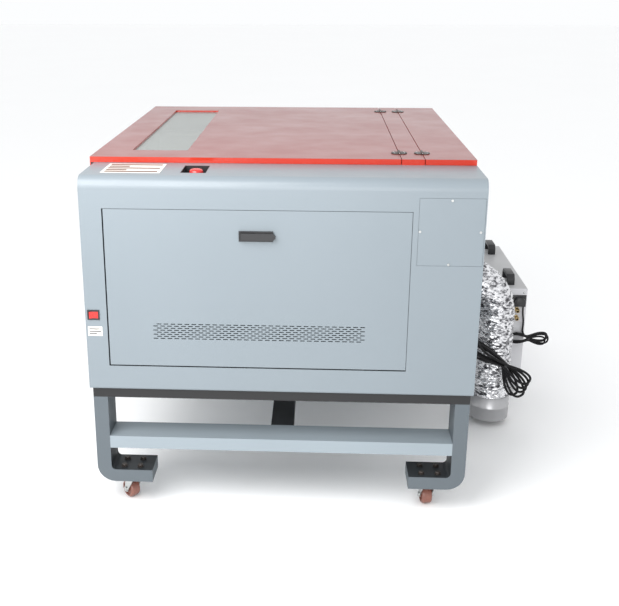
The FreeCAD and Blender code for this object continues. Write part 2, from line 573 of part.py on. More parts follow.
def castors():
    plates = []
    for name, side, end, turn in (("front_near", -1, -1, 135), ("rear_near", 1, -1, 98),
                                  ("front_far", -1, 1, 60), ("rear_far", 1, 1, 100)):
        x = f"{side} * castor_x"
        y = f"{end} * castor_y"
        plate = block((f"{x} - plate_wide / 2", f"{x} + plate_wide / 2"),
                      (f"{y} - plate_wide / 2", f"{y} + plate_wide / 2"),
                      ("foot_low - plate_thick", "foot_low"))
        race = rod("z", (x, y, "foot_low - 9"), "20", "7")
        kingpin = rod("z", (x, y, "foot_low - 16.8"), "kingpin_r", "10")
        button = rod("z", (x, y, "foot_low - 18.4"), "8", "2")
        bolts = []
        for dx in (-22, 22):
            for dy in (-22, 22):
                shank_foot = "foot_low - plate_thick - 3"
                bolts.append(rod("z", (f"{x} + {dx}", f"{y} + {dy}", shank_foot), "4", "45"))
                bolts.append(rod("z", (f"{x} + {dx}", f"{y} + {dy}", "foot_high"), "6.5", "5"))
        plates.append(fuse(plate, race, kingpin, button, *bolts))

        # fork and wheel are drawn at the origin, trailing along +X, then turned about the swivel
        crown = cut(rod("z", ("0", "0", "foot_low - 12.4"), "21", "3"),
                    rod("z", ("0", "0", "foot_low - 20"), "kingpin_r + running", "20"))
        legs = []
        for leg_side in (-1, 1):
            gap = "(wheel_wide / 2 + 1.2)"
            low, high = (f"-{gap} - 2.6", f"-{gap}") if leg_side < 0 else (gap, f"{gap} + 2.6")
            eye = rod("y", ("trail", low, "wheel_r"), "9", "2.6")
            taper = doc.addObject("Part::Wedge", "fork_leg")
            taper.Placement.Rotation = FreeCAD.Rotation(Vec(1, 0, 0), 90)
            bind(taper, Xmin="trail - 9", Xmax="trail + 9", Zmin="0", Zmax="2.6", X2min="-15", X2max="17",
                 Z2min="0", Z2max="2.6", Ymin="0", Ymax="foot_low - 9.4 - wheel_r", y=high, z="wheel_r")
            legs.append(fuse(taper, eye))
        arch = block(("-14", "14"), (f"-{gap} - 1", f"{gap} + 1"), ("foot_low - 12.4", "foot_low - 9.4"))
        arch = cut(arch, rod("z", ("0", "0", "foot_low - 20"), "kingpin_r + running", "20"))
        fork = fuse(crown, arch, *legs)
        axle_hole = rod("y", ("trail", "-30", "wheel_r"), "axle_r", "60")
        axle = rod("y", ("trail", f"-{gap} - 5", "wheel_r"), "axle_r", f"2 * {gap} + 10")
        nut = rod("y", ("trail", f"-{gap} - 5.6", "wheel_r"), "6.5", "3")
        nut_far = rod("y", ("trail", f"{gap} + 2.6", "wheel_r"), "6.5", "3")
        fork = group(cut(fork, axle_hole), fuse(axle, nut, nut_far))
        tread = rod("y", ("trail", "-wheel_wide / 2", "wheel_r"), "wheel_r", "wheel_wide")
        boss = rod("y", ("trail", "-wheel_wide / 2 - 0.8", "wheel_r"), "9", "wheel_wide + 1.6")
        wheel = cut(fuse(tread, boss), rod("y", ("trail", "-30", "wheel_r"), "axle_r + running", "60"))
        for kind, piece in (("fork", fork), ("wheel", wheel)):
            piece.Placement.Rotation = FreeCAD.Rotation(Vec(0, 0, 1), turn)
            bind(piece, x=x, y=y)
            node(f"castor_{kind}_{name}", piece)
    node("castor_plates", group(*plates))


# Exhaust -----------------------------------------------------------------------------------------

def exhaust():
    flange = block((FACE_X, f"{FACE_X} + 3"), ("port_y - 80", "port_y + 80"), ("port_z - 80", "port_z + 80"))
    spigot = rod("x", (FACE_X, "port_y", "port_z"), "duct_r - 1.5", f"spigot_end - {FACE_X}")
    bore = rod("x", (f"{FACE_X} - 1", "port_y", "port_z"), "duct_r - 3", f"spigot_end - {FACE_X} + 2")
    node("exhaust_outlet", cut(fuse(flange, spigot), bore))
    # a flexible hose: level from the spigot, a quarter bend, then straight down into the collar
    drop_x = "(spigot_end + duct_level + duct_bend)"
    level = rod("x", ("spigot_end", "port_y", "port_z"), "duct_r", "duct_level")
    turn = doc.addObject("Part::Torus", "duct_turn")
    turn.Placement.Rotation = FreeCAD.Rotation(Vec(1, 0, 0), 90)
    bind(turn, Radius1="duct_bend", Radius2="duct_r",
         x="spigot_end + duct_level", y="port_y", z="port_z - duct_bend")
    quarter = block(("spigot_end + duct_level", f"{drop_x} + duct_r"),
                    ("port_y - duct_r", "port_y + duct_r"),
                    ("port_z - duct_bend", "port_z + duct_r"))
    down = rod("z", (drop_x, "port_y", "collar_high"), "duct_r", "port_z - duct_bend - collar_high")
    node("exhaust_duct", fuse(level, common(turn, quarter), down))
    node("duct_collar", tube("z", (drop_x, "port_y", "collar_low"), "duct_r + 1.5", "duct_r",
                             "collar_high - collar_low"))


# Laser, motion and electronics -------------------------------------------------------------------

def works():
    node("laser_tube", fuse(
        rod("y", ("laser_x", "-455", "laser_z"), "laser_r", "980"),
        rod("y", ("laser_x", "-470", "laser_z"), "12", "15"),
        rod("y", ("laser_x", "525", "laser_z"), "12", "15")))
    cradles = []
    for y in ("-260", "310"):
        foot = block(("laser_x - 40", "laser_x + 40"), (f"{y} - 15", f"{y} + 15"),
                     ("shelf_z + skin", "laser_z"))
        cradles.append(cut(foot, rod("y", ("laser_x", f"{y} - 20", "laser_z"), "laser_r", "40")))
    node("tube_brackets", group(*cradles))
    rails = []
    for y in ("bay_wall + 30", "far_wall - 28"):
        rails.append(block(("-470", "290"), (f"{y} - 10", f"{y} + 10"), ("rail_z - 20", "rail_z - 8")))
    node("guide_rails", group(*rails))
    truck_near = block(("beam_x - 30", "beam_x + 30"), ("bay_wall + 15", "bay_wall + 45"),
                       ("rail_z - 7.6", "rail_z + 6"))
    truck_far = block(("beam_x - 30", "beam_x + 30"), ("far_wall - 43", "far_wall - 13"),
                      ("rail_z - 7.6", "rail_z + 6"))
    beam = block(("beam_x - 20", "beam_x + 20"), ("bay_wall + 15", "far_wall - 13"),
                 ("rail_z", "rail_z + 24"))
    node("gantry_beam", fuse(truck_near, truck_far, beam))
    head_y = "(bay_wall + 90)"
    carriage = block(("beam_x - 34", "beam_x - 20.4"), (f"{head_y} - 32", f"{head_y} + 32"),
                     ("rail_z - 24", "rail_z + 26"))
    barrel = rod("z", ("beam_x - 50", head_y, "rail_z - 70"), "14", "92")
    nozzle = cone("z", ("beam_x - 50", head_y, "rail_z - 90"), "4", "12", "20")
    lug = block(("beam_x - 50", "beam_x - 34"), (f"{head_y} - 14", f"{head_y} + 14"),
                ("rail_z - 20", "rail_z + 16"))
    node("laser_head", fuse(carriage, barrel, nozzle, lug))
    bed = block(("bed_lo", "bed_hi"), ("bed_near", "bed_far"), ("bed_top - bed_deep", "bed_top"))
    pan = block(("bed_lo + 14", "bed_hi - 14"), ("bed_near + 14", "bed_far - 14"),
                ("bed_top - 30", "bed_top + 1"))
    slots = []
    screws = []
    corners = [(x, y) for x in ("bed_lo + 7", "bed_hi - 7") for y in ("bed_near + 7", "bed_far - 7")]
    lugs = []
    for x, y in corners:
        out = "-11" if "bed_near" in y else "11"
        post_y = f"{y} + ({out})"
        lugs.append(rod("z", (x, post_y, "bed_top - bed_deep"), "screw_r + 5", "12"))
        slots.append(rod("z", (x, post_y, "bed_top - bed_deep - 1"), "screw_r + 0.4", "bed_deep + 2"))
        screws.append(rod("z", (x, post_y, "floor_z + skin"), "screw_r", "bed_top - floor_z + 20"))
    blades = []
    for index in range(1, 31):
        blade_y = f"bed_near + (bed_far - bed_near) * {index} / 31"
        blades.append(block(("bed_lo + 10", "bed_hi - 10"), (f"{blade_y} - 1.5", f"{blade_y} + 1.5"),
                            ("bed_top - bed_deep + 4", "bed_top")))
    node("work_bed", fuse(cut(fuse(bed, *lugs), pan, *slots), *blades))
    node("lift_screws", group(*screws))
    node("power_unit", group(
        block(("-300", "-140"), ("-640", "-520"), ("cab_foot + skin", "cab_foot + skin + 150")),
        block(("-60", "190"), ("bay_wall - 40", "bay_wall"), ("500", "680"))))


# Cooling unit ------------------------------------------------------------------------------------

def cooler():
    case = cut(block(("cool_lo", "cool_hi"), ("cool_near", "cool_far"), ("cool_foot", "cool_top")),
               block(("cool_lo + skin", "cool_hi - skin"), ("cool_near + skin", "cool_far - skin"),
                     ("cool_foot + skin", "cool_top - skin")))
    feet = []
    for x in ("cool_lo + 35", "cool_hi - 35"):
        for y in ("cool_near + 45", "cool_far - 45"):
            feet.append(rod("z", (x, y, "0"), "16", "cool_foot"))
    tail_x = "773"
    fittings = [rod("y", (tail_x, "cool_near - 26", z), "8", "26") for z in ("279", "307")]
    plug = block(("762", "798"), ("cool_near - 24", "cool_near"), ("322", "352"))
    handle_lo = "742"
    handle_hi = "768"
    handles = []
    for y in ("cool_near + 40", "cool_far - 130"):
        grip = block((handle_lo, handle_hi), (y, f"{y} + 96"), ("cool_top", "cool_top + 36"))
        gap = block((f"{handle_lo} - 5", f"{handle_hi} + 5"), (f"{y} + 12", f"{y} + 84"),
                    ("cool_top - 1", "cool_top + 26"))
        handles.append(cut(grip, gap))
    node("cooler_case", group(case, *feet, *fittings, *handles, plug))


# Leads -------------------------------------------------------------------------------------------

def lead(name, points, radius):
    """A free lead: straight runs joined by tangent arcs, as large as each pair of runs allows."""
    spots = [Vec(*point) for point in points]
    edges = []
    start = spots[0]
    radii = []
    for before, spot, after in zip(spots, spots[1:], spots[2:]):
        back = before - spot
        onward = after - spot
        shorter = min(back.Length, onward.Length)
        back.normalize()
        onward.normalize()
        turn = math.pi - back.getAngle(onward)
        reach = 0.45 * shorter
        radii.append(reach / math.tan(turn / 2))
        first = spot + back * reach
        last = spot + onward * reach
        middle_way = (back + onward).normalize()
        centre_far = radii[-1] / math.cos(turn / 2)
        middle = spot + middle_way * (centre_far - radii[-1])
        edges.append(Part.LineSegment(start, first).toShape())
        edges.append(Part.Arc(first, middle, last).toShape())
        start = last
    edges.append(Part.LineSegment(start, spots[-1]).toShape())
    path = Part.Wire(edges)
    way = spots[1] - spots[0]
    section = Part.Wire(Part.makeCircle(radius, spots[0], way))
    solid = path.makePipeShell([section], True, False)
    print(name, "radii", [round(r) for r in radii], "length", round(path.Length),
          "volume", round(solid.Volume), "section x length", round(math.pi * radius ** 2 * path.Length))
    piece = doc.addObject("Part::Feature", name)
    piece.Shape = solid
    node(name, piece)


def hank(name, y, points):
    """The closed outer shape of a tied hank, flat and upright, between two depths."""
    body = doc.addObject("PartDesign::Body", name)
    pad = body.newObject("PartDesign::Pad", name + "_pad")
    pad.Profile = outline(body, "XZ_Plane", points, name + "_outline")
    pad.Length = y[1] - y[0]
    body.Placement.Base = Vec(0, y[1], 0)
    node(name, body)


def plug(name, x, y, z, reach):
    """A moulded plug on the end of a lead, its tapered relief first."""
    relief = cone("x", (x - 18, y, z), 8, 4, "18")
    grip = block((f"{x} - 18 - {reach}", f"{x} - 18"), (f"{y} - 12", f"{y} + 12"), (f"{z} - 10", f"{z} + 10"))
    pins = [rod("x", (f"{x} - 18 - {reach} - 16", f"{y} + {side} * 7", z), "2.2", "18") for side in (-1, 1)]
    node(name, fuse(relief, grip, *pins))


def leads():
    shank = rod("x", (f"{FACE_X} - 8", "gland_y", "gland_z"), "8", "8")
    nut = rod("x", (FACE_X, "gland_y", "gland_z"), "11", "5")
    relief = cone("x", (f"{FACE_X} + 5", "gland_y", "gland_z"), "8.5", "5", f"gland_tip - {FACE_X} - 5")
    node("mains_gland", fuse(shank, nut, relief))
    tip, level, height = size("gland_tip"), size("gland_y"), size("gland_z")
    drop = tip + 62
    lead("mains_lead", [(tip, level, height), (tip + 22, level, height), (tip + 46, level, height - 12),
                        (tip + 60, level, height - 34), (drop, level, height - 64), (drop, level, 326)],
         size("lead_r"))
    hank("mains_hank", (-192, -144), [
        (548, 262), (548, 326), (606, 326), (688, 254), (744, 222), (772, 182), (766, 146),
        (744, 110), (712, 98), (684, 108), (666, 150), (658, 190), (662, 214), (600, 236)])
    plug("mains_plug", 548, -148, 280, 34)
    front = size("cool_near") - 18
    lead("cooler_lead", [(792, front + 6, 322), (792, front + 6, 300), (796, front + 2, 276),
                         (797, front, 250), (797, front, 226)], size("thin_lead_r"))
    hank("cooler_hank", (front - 14, front + 14), [
        (752, 184), (752, 222), (776, 228), (792, 226), (822, 226), (850, 234), (880, 234),
        (888, 212), (880, 184), (850, 180), (812, 194), (784, 184)])
    plug("cooler_plug", 752, front - 9, 202, 30)


cabinet()
lids()
hinges()
service_door()
latch()
hatch()
controls()
stand()
castors()
exhaust()
works()
cooler()
leads()
doc.recompute()

for obj in doc.Objects:
    if "Invalid" in obj.State or "Error" in obj.State:
        users = [user.Label for user in obj.InList]
        raise RuntimeError(f"{obj.Name} ({obj.Label}) failed in {users}: {obj.State}")
os.makedirs("parts", exist_ok=True)
for piece in nodes:
    shape = piece.Shape
    if shape.isNull() or not shape.isValid() or not shape.Solids:
        raise RuntimeError(f"{piece.Label} has no valid solid")
    shape.exportStep(f"parts/{piece.Label}.step")
print(len(nodes), "sub-parts written")
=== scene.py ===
import math
import bmesh
import bpy
from mathutils import Matrix, Vector, noise


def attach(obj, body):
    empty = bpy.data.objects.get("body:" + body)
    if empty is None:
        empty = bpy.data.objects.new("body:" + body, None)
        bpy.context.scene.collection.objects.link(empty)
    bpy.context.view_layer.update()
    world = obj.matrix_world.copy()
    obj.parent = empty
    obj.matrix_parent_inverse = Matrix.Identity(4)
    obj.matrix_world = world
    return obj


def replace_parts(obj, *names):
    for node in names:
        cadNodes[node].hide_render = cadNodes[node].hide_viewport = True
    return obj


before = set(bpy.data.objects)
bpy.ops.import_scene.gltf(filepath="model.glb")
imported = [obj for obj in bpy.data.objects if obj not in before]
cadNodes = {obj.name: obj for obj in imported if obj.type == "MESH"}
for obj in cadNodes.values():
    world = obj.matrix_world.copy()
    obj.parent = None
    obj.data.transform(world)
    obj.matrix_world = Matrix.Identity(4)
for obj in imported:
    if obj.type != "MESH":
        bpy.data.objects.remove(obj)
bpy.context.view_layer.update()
print("frame loaded:", len(cadNodes), "nodes")

# metres, degrees and millimetres of lens
cameraSetup = {"place": (0.0889, -3.0196, 1.3688), "turn": 3.086, "down": 18.38, "lens": 56.4, "sensor": 36,
               "shift": 0.0704}
cameraData = bpy.data.cameras.new("camera")
cameraData.lens = cameraSetup["lens"]
cameraData.sensor_width = cameraSetup["sensor"]
cameraData.shift_x = cameraSetup["shift"]
camera = bpy.data.objects.new("camera", cameraData)
camera.location = cameraSetup["place"]
camera.rotation_euler = (math.radians(90 - cameraSetup["down"]), 0, math.radians(cameraSetup["turn"]))
bpy.context.collection.objects.link(camera)
bpy.context.scene.camera = camera

# each loop is (angle in degrees, reach, half width); a column is the lead's depth at one turn of the hank
mainsLead = {
    "route": [(0.526, -0.168, 0.420), (0.548, -0.168, 0.420), (0.572, -0.168, 0.408),
              (0.586, -0.168, 0.386), (0.588, -0.168, 0.358), (0.588, -0.174, 0.332),
              (0.591, -0.185, 0.306), (0.612, -0.1868, 0.278), (0.650, -0.1866, 0.254)],
    "thick": 0.0075,
    "tie": (0.683, 0.230),
    "columns": [-0.1789, -0.1712, -0.1635, -0.1558, -0.1481],
    "right": [(-34, 0.093, 0.018), (-45, 0.100, 0.020), (-54, 0.112, 0.019), (-62, 0.126, 0.021),
              (-70, 0.117, 0.018)],
    "left": [(149, 0.134, 0.016), (155, 0.128, 0.017), (147, 0.138, 0.015), (153, 0.132, 0.016)],
    "finish": [(0.648, -0.1481, 0.236), (0.612, -0.1481, 0.252), (0.582, -0.1481, 0.271),
               (0.562, -0.1481, 0.280), (0.547, -0.1481, 0.280)],
    "bunch": 0.0042,
    "band": {"wide": 0.006, "tall": 0.021, "deep": (-0.1836, -0.1434)},
}
coolerLead = {
    "route": [(0.792, 0.140, 0.322), (0.792, 0.140, 0.300), (0.796, 0.138, 0.276), (0.797, 0.139, 0.250),
              (0.797, 0.1460, 0.232), (0.803, 0.1462, 0.218)],
    "thick": 0.006,
    "tie": (0.816, 0.209),
    "columns": [0.1434, 0.1372, 0.1310, 0.1248],
    "right": [(5, 0.066, 0.014), (-3, 0.069, 0.016), (8, 0.060, 0.015), (-6, 0.056, 0.014)],
    "left": [(183, 0.058, 0.014), (178, 0.055, 0.015), (181, 0.060, 0.014)],
    "finish": [(0.798, 0.1248, 0.202), (0.784, 0.1250, 0.202), (0.766, 0.1250, 0.202),
               (0.751, 0.1250, 0.202)],
    "bunch": 0.0036,
    "band": {"wide": 0.005, "tall": 0.016, "deep": (0.1212, 0.1470)},
}


def leadPoints(lead, sense):
    points = list(lead["route"])
    tieX, tieZ = lead["tie"]

    def addPoint(angle, along, across, y):
        heading = math.radians(angle)
        points.append((tieX + along * math.cos(heading) - across * math.sin(heading), y,
                       tieZ + along * math.sin(heading) + across * math.cos(heading)))

    # one loop out from the tie and back, in shares of its reach and half width
    shape = [(0.25, 0.62), (0.55, 1.0), (0.84, 1.0), (0.99, 0.55)]
    shape += [(along, -across) for along, across in reversed(shape)]
    for turn, (angle, reach, width) in enumerate(lead["right"]):
        y = lead["columns"][turn]
        addPoint(angle, 0.0, sense * lead["bunch"], y)
        for along, across in shape:
            addPoint(angle, reach * along, sense * width * across, y)
        if turn == len(lead["left"]):
            addPoint(angle, 0.0, -sense * lead["bunch"], y)
            break
        angle, reach, width = lead["left"][turn]
        step = lead["columns"][turn + 1] - y
        addPoint(angle, 0.0, sense * lead["bunch"], y)
        for along, across in shape:
            # the way back of a left loop moves over to the next column
            if across > 0 or (across > -0.9 and along > 0.5):
                drift = 0
            else:
                drift = step * (0.5 if along > 0.8 else 1)
            addPoint(angle, reach * along, sense * width * across, y + drift)
    points += lead["finish"]
    return points


def leadCurve(name, lead, sense):
    points = leadPoints(lead, sense)
    data = bpy.data.curves.new(name, "CURVE")
    data.dimensions = "3D"
    data.bevel_depth = lead["thick"] / 2
    data.bevel_resolution = 5
    data.resolution_u = 8
    data.use_fill_caps = True
    spline = data.splines.new("NURBS")
    spline.points.add(len(points) - 1)
    for control, place in zip(spline.points, points):
        control.co = (*place, 1.0)
    spline.order_u = 3
    spline.use_endpoint_u = True
    piece = bpy.data.objects.new(name, data)
    bpy.context.collection.objects.link(piece)
    return piece


mainsCord = leadCurve("mainsCord", mainsLead, 1)
coolerCord = leadCurve("coolerCord", coolerLead, -1)
print("leads laid")


def startGroup(name, inputs, outputs):
    group = bpy.data.node_groups.new(name, "ShaderNodeTree")
    for label, kind, value in inputs:
        socket = group.interface.new_socket(name=label, in_out="INPUT", socket_type=kind)
        socket.default_value = value
    for label, kind in outputs:
        group.interface.new_socket(name=label, in_out="OUTPUT", socket_type=kind)
    return group, group.nodes.new("NodeGroupInput"), group.nodes.new("NodeGroupOutput")


def makePeel():
    group, given, result = startGroup(
        "orangePeel",
        [("Scale", "NodeSocketFloat", 260.0), ("Depth", "NodeSocketFloat", 0.08)],
        [("Normal", "NodeSocketVector")])
    place = group.nodes.new("ShaderNodeTexCoord")
    grain = group.nodes.new("ShaderNodeTexNoise")
    grain.inputs["Detail"].default_value = 2
    bump = group.nodes.new("ShaderNodeBump")
    bump.inputs["Distance"].default_value = 0.0006
    link = group.links.new
    link(place.outputs["Object"], grain.inputs["Vector"])
    link(given.outputs["Scale"], grain.inputs["Scale"])
    link(grain.outputs["Fac"], bump.inputs["Height"])
    link(given.outputs["Depth"], bump.inputs["Strength"])
    link(bump.outputs["Normal"], result.inputs["Normal"])
    return group


def makeTone():
    group, given, result = startGroup(
        "tonePatches",
        [("Light", "NodeSocketColor", (1, 1, 1, 1)), ("Dark", "NodeSocketColor", (0, 0, 0, 1)),
         ("Scale", "NodeSocketFloat", 4.0)],
        [("Color", "NodeSocketColor")])
    place = group.nodes.new("ShaderNodeTexCoord")
    patch = group.nodes.new("ShaderNodeTexNoise")
    patch.inputs["Detail"].default_value = 4
    blend = group.nodes.new("ShaderNodeMix")
    blend.data_type = "RGBA"
    link = group.links.new
    link(place.outputs["Object"], patch.inputs["Vector"])
    link(given.outputs["Scale"], patch.inputs["Scale"])
    link(patch.outputs["Fac"], blend.inputs["Factor"])
    link(given.outputs["Dark"], blend.inputs["A"])
    link(given.outputs["Light"], blend.inputs["B"])
    link(blend.outputs["Result"], result.inputs["Color"])
    return group


def makeSmudge():
    group, given, result = startGroup(
        "smudges",
        [("Low", "NodeSocketFloat", 0.2), ("High", "NodeSocketFloat", 0.4),
         ("Scale", "NodeSocketFloat", 9.0)],
        [("Roughness", "NodeSocketFloat")])
    place = group.nodes.new("ShaderNodeTexCoord")
    patch = group.nodes.new("ShaderNodeTexNoise")
    patch.inputs["Detail"].default_value = 5
    spread = group.nodes.new("ShaderNodeMapRange")
    spread.inputs["From Min"].default_value = 0.3
    spread.inputs["From Max"].default_value = 0.7
    link = group.links.new
    link(place.outputs["Object"], patch.inputs["Vector"])
    link(given.outputs["Scale"], patch.inputs["Scale"])
    link(patch.outputs["Fac"], spread.inputs["Value"])
    link(given.outputs["Low"], spread.inputs["To Min"])
    link(given.outputs["High"], spread.inputs["To Max"])
    link(spread.outputs["Result"], result.inputs["Roughness"])
    return group


def joinMasks(tree, operation, masks):
    joined = masks[0]
    for mask in masks[1:]:
        both = tree.nodes.new("ShaderNodeMath")
        both.operation = operation
        tree.links.new(joined, both.inputs[0])
        tree.links.new(mask, both.inputs[1])
        joined = both.outputs["Value"]
    return joined


# 1 where the distances from the piece's middle planes all lie between two corners, else 0
def makeZone():
    group, given, result = startGroup(
        "zoneMask",
        [("Low", "NodeSocketVector", (-1, -1, -1)), ("High", "NodeSocketVector", (9, 9, 9))],
        [("Mask", "NodeSocketFloat")])
    place = group.nodes.new("ShaderNodeTexCoord")
    distance = group.nodes.new("ShaderNodeVectorMath")
    distance.operation = "ABSOLUTE"
    group.links.new(place.outputs["Object"], distance.inputs[0])
    split = []
    for source in (distance.outputs["Vector"], given.outputs["Low"], given.outputs["High"]):
        apart = group.nodes.new("ShaderNodeSeparateXYZ")
        group.links.new(source, apart.inputs["Vector"])
        split.append(apart)
    found, low, high = split
    tests = []
    for axis in "XYZ":
        for operation, edge in (("GREATER_THAN", low), ("LESS_THAN", high)):
            test = group.nodes.new("ShaderNodeMath")
            test.operation = operation
            group.links.new(found.outputs[axis], test.inputs[0])
            group.links.new(edge.outputs[axis], test.inputs[1])
            tests.append(test.outputs["Value"])
    group.links.new(joinMasks(group, "MINIMUM", tests), result.inputs["Mask"])
    return group


peelGroup, toneGroup, smudgeGroup, zoneGroup = makePeel(), makeTone(), makeSmudge(), makeZone()


def placeGroup(material, group, **values):
    node = material.node_tree.nodes.new("ShaderNodeGroup")
    node.node_tree = group
    for label, value in values.items():
        node.inputs[label].default_value = value
    return node


def finish(name, light, dark, low, high, metal=0.0, peel=0.06, peelScale=260.0, toneScale=4.0, coat=0.0,
           coatRough=0.1, specular=0.5):
    material = bpy.data.materials.new(name)
    material.use_nodes = True
    shader = material.node_tree.nodes["Principled BSDF"]
    tone = placeGroup(material, toneGroup, Light=(*light, 1), Dark=(*dark, 1), Scale=toneScale)
    smudge = placeGroup(material, smudgeGroup, Low=low, High=high)
    bumps = placeGroup(material, peelGroup, Scale=peelScale, Depth=peel)
    link = material.node_tree.links.new
    link(tone.outputs["Color"], shader.inputs["Base Color"])
    link(smudge.outputs["Roughness"], shader.inputs["Roughness"])
    link(bumps.outputs["Normal"], shader.inputs["Normal"])
    shader.inputs["Metallic"].default_value = metal
    shader.inputs["Specular IOR Level"].default_value = specular
    shader.inputs["Coat Weight"].default_value = coat
    shader.inputs["Coat Roughness"].default_value = coatRough
    return material


finishes = {
    "cabinet": finish("cabinetPaint", (0.200, 0.234, 0.259), (0.183, 0.216, 0.240), 0.36, 0.46, peel=0.04,
                      coat=0.25, coatRough=0.2),
    "lid": finish("lidPaint", (0.48, 0.026, 0.008), (0.43, 0.020, 0.006), 0.28, 0.40, peel=0.03, coat=0.5,
                  coatRough=0.12, specular=0.25),
    "stand": finish("standPaint", (0.096, 0.115, 0.130), (0.084, 0.102, 0.116), 0.42, 0.55, peel=0.07),
    "cooler": finish("coolerPaint", (0.62, 0.62, 0.64), (0.56, 0.56, 0.58), 0.4, 0.5, peel=0.08),
    "zinc": finish("brightZinc", (0.60, 0.60, 0.58), (0.42, 0.44, 0.45), 0.22, 0.42, metal=1.0, peel=0.03,
                   toneScale=60.0),
    "steel": finish("groundSteel", (0.56, 0.57, 0.58), (0.44, 0.45, 0.46), 0.25, 0.4, metal=1.0, peel=0.02,
                    toneScale=30.0),
    "hinge": finish("darkBronze", (0.075, 0.062, 0.055), (0.04, 0.035, 0.032), 0.3, 0.45, metal=0.6,
                    toneScale=50.0),
    "black": finish("satinBlack", (0.022, 0.022, 0.024), (0.014, 0.014, 0.016), 0.32, 0.5, peel=0.12,
                    peelScale=600.0),
    "red": finish("stopRed", (0.62, 0.018, 0.012), (0.52, 0.014, 0.010), 0.16, 0.28, coat=0.6,
                  toneScale=30.0),
    "tread": finish("brownTread", (0.26, 0.095, 0.062), (0.15, 0.05, 0.036), 0.25, 0.45, coat=0.4,
                    toneScale=40.0),
    "alloy": finish("rolledAlloy", (0.74, 0.74, 0.75), (0.60, 0.60, 0.62), 0.22, 0.38, metal=1.0, peel=0.04,
                    toneScale=25.0),
    "collar": finish("dullAlloy", (0.50, 0.50, 0.51), (0.36, 0.36, 0.37), 0.28, 0.44, metal=1.0, peel=0.04,
                     toneScale=25.0),
    "profile": finish("anodised", (0.60, 0.61, 0.62), (0.50, 0.51, 0.52), 0.3, 0.42, metal=1.0, peel=0.03,
                      toneScale=12.0),
    "brass": finish("duskyBrass", (0.62, 0.46, 0.22), (0.48, 0.35, 0.17), 0.25, 0.4, metal=1.0,
                    toneScale=80.0),
    "sheath": finish("leadSheath", (0.007, 0.007, 0.008), (0.004, 0.004, 0.005), 0.34, 0.5, peel=0.1,
                     peelScale=900.0, specular=0.22),
    "pale": finish("palePlate", (0.80, 0.78, 0.72), (0.72, 0.70, 0.65), 0.4, 0.55, toneScale=60.0),
    "ink": finish("plateInk", (0.10, 0.10, 0.11), (0.06, 0.06, 0.07), 0.4, 0.5, toneScale=60.0),
    "amber": finish("plateAmber", (0.20, 0.050, 0.030), (0.07, 0.060, 0.035), 0.4, 0.5, toneScale=45.0),
}


def glassFinish(name, colour, rough, alpha):
    material = bpy.data.materials.new(name)
    material.use_nodes = True
    shader = material.node_tree.nodes["Principled BSDF"]
    smudge = placeGroup(material, smudgeGroup, Low=rough, High=rough + 0.08)
    bumps = placeGroup(material, peelGroup, Scale=30.0, Depth=0.02)
    tone = placeGroup(material, toneGroup, Light=(*colour, 1), Dark=(*[part * 0.9 for part in colour], 1),
                      Scale=3.0)
    link = material.node_tree.links.new
    link(tone.outputs["Color"], shader.inputs["Base Color"])
    link(smudge.outputs["Roughness"], shader.inputs["Roughness"])
    link(bumps.outputs["Normal"], shader.inputs["Normal"])
    shader.inputs["Alpha"].default_value = alpha
    shader.inputs["IOR"].default_value = 1.49
    return material


def foilFinish():
    material = bpy.data.materials.new("crumpledFoil")
    material.use_nodes = True
    nodes, link = material.node_tree.nodes, material.node_tree.links.new
    shader = nodes["Principled BSDF"]
    place = nodes.new("ShaderNodeTexCoord")
    stretch = nodes.new("ShaderNodeMapping")
    stretch.inputs["Scale"].default_value = (1.0, 1.0, 1.8)
    fold = nodes.new("ShaderNodeTexNoise")
    fold.inputs["Scale"].default_value = 40
    fold.inputs["Detail"].default_value = 3
    fold.inputs["Distortion"].default_value = 1.6
    facet = nodes.new("ShaderNodeTexVoronoi")
    facet.inputs["Scale"].default_value = 66
    mixer = nodes.new("ShaderNodeMath")
    mixer.operation = "MULTIPLY_ADD"
    mixer.inputs[1].default_value = 0.28
    # painted reflections: the base colour runs from near black to bright over the crumple pattern, standing
    # in for dark and bright surroundings mirrored in the facets; the bump from the same pattern is the real
    # crumpling
    paintedReflections = nodes.new("ShaderNodeValToRGB")
    paintedReflections.color_ramp.elements[0].position = 0.44
    paintedReflections.color_ramp.elements[0].color = (0.05, 0.05, 0.055, 1)
    paintedReflections.color_ramp.elements[1].position = 0.70
    paintedReflections.color_ramp.elements[1].color = (0.84, 0.84, 0.86, 1)
    middle = paintedReflections.color_ramp.elements.new(0.57)
    middle.color = (0.27, 0.27, 0.285, 1)
    bump = nodes.new("ShaderNodeBump")
    bump.inputs["Strength"].default_value = 0.9
    bump.inputs["Distance"].default_value = 0.004
    smudge = placeGroup(material, smudgeGroup, Low=0.12, High=0.30, Scale=40.0)
    link(place.outputs["Object"], stretch.inputs["Vector"])
    link(stretch.outputs["Vector"], fold.inputs["Vector"])
    link(stretch.outputs["Vector"], facet.inputs["Vector"])
    link(facet.outputs["Distance"], mixer.inputs[0])
    link(fold.outputs["Fac"], mixer.inputs[2])
    link(mixer.outputs["Value"], paintedReflections.inputs["Fac"])
    link(paintedReflections.outputs["Color"], shader.inputs["Base Color"])
    link(mixer.outputs["Value"], bump.inputs["Height"])
    link(bump.outputs["Normal"], shader.inputs["Normal"])
    link(smudge.outputs["Roughness"], shader.inputs["Roughness"])
    shader.inputs["Metallic"].default_value = 0.92
    return material
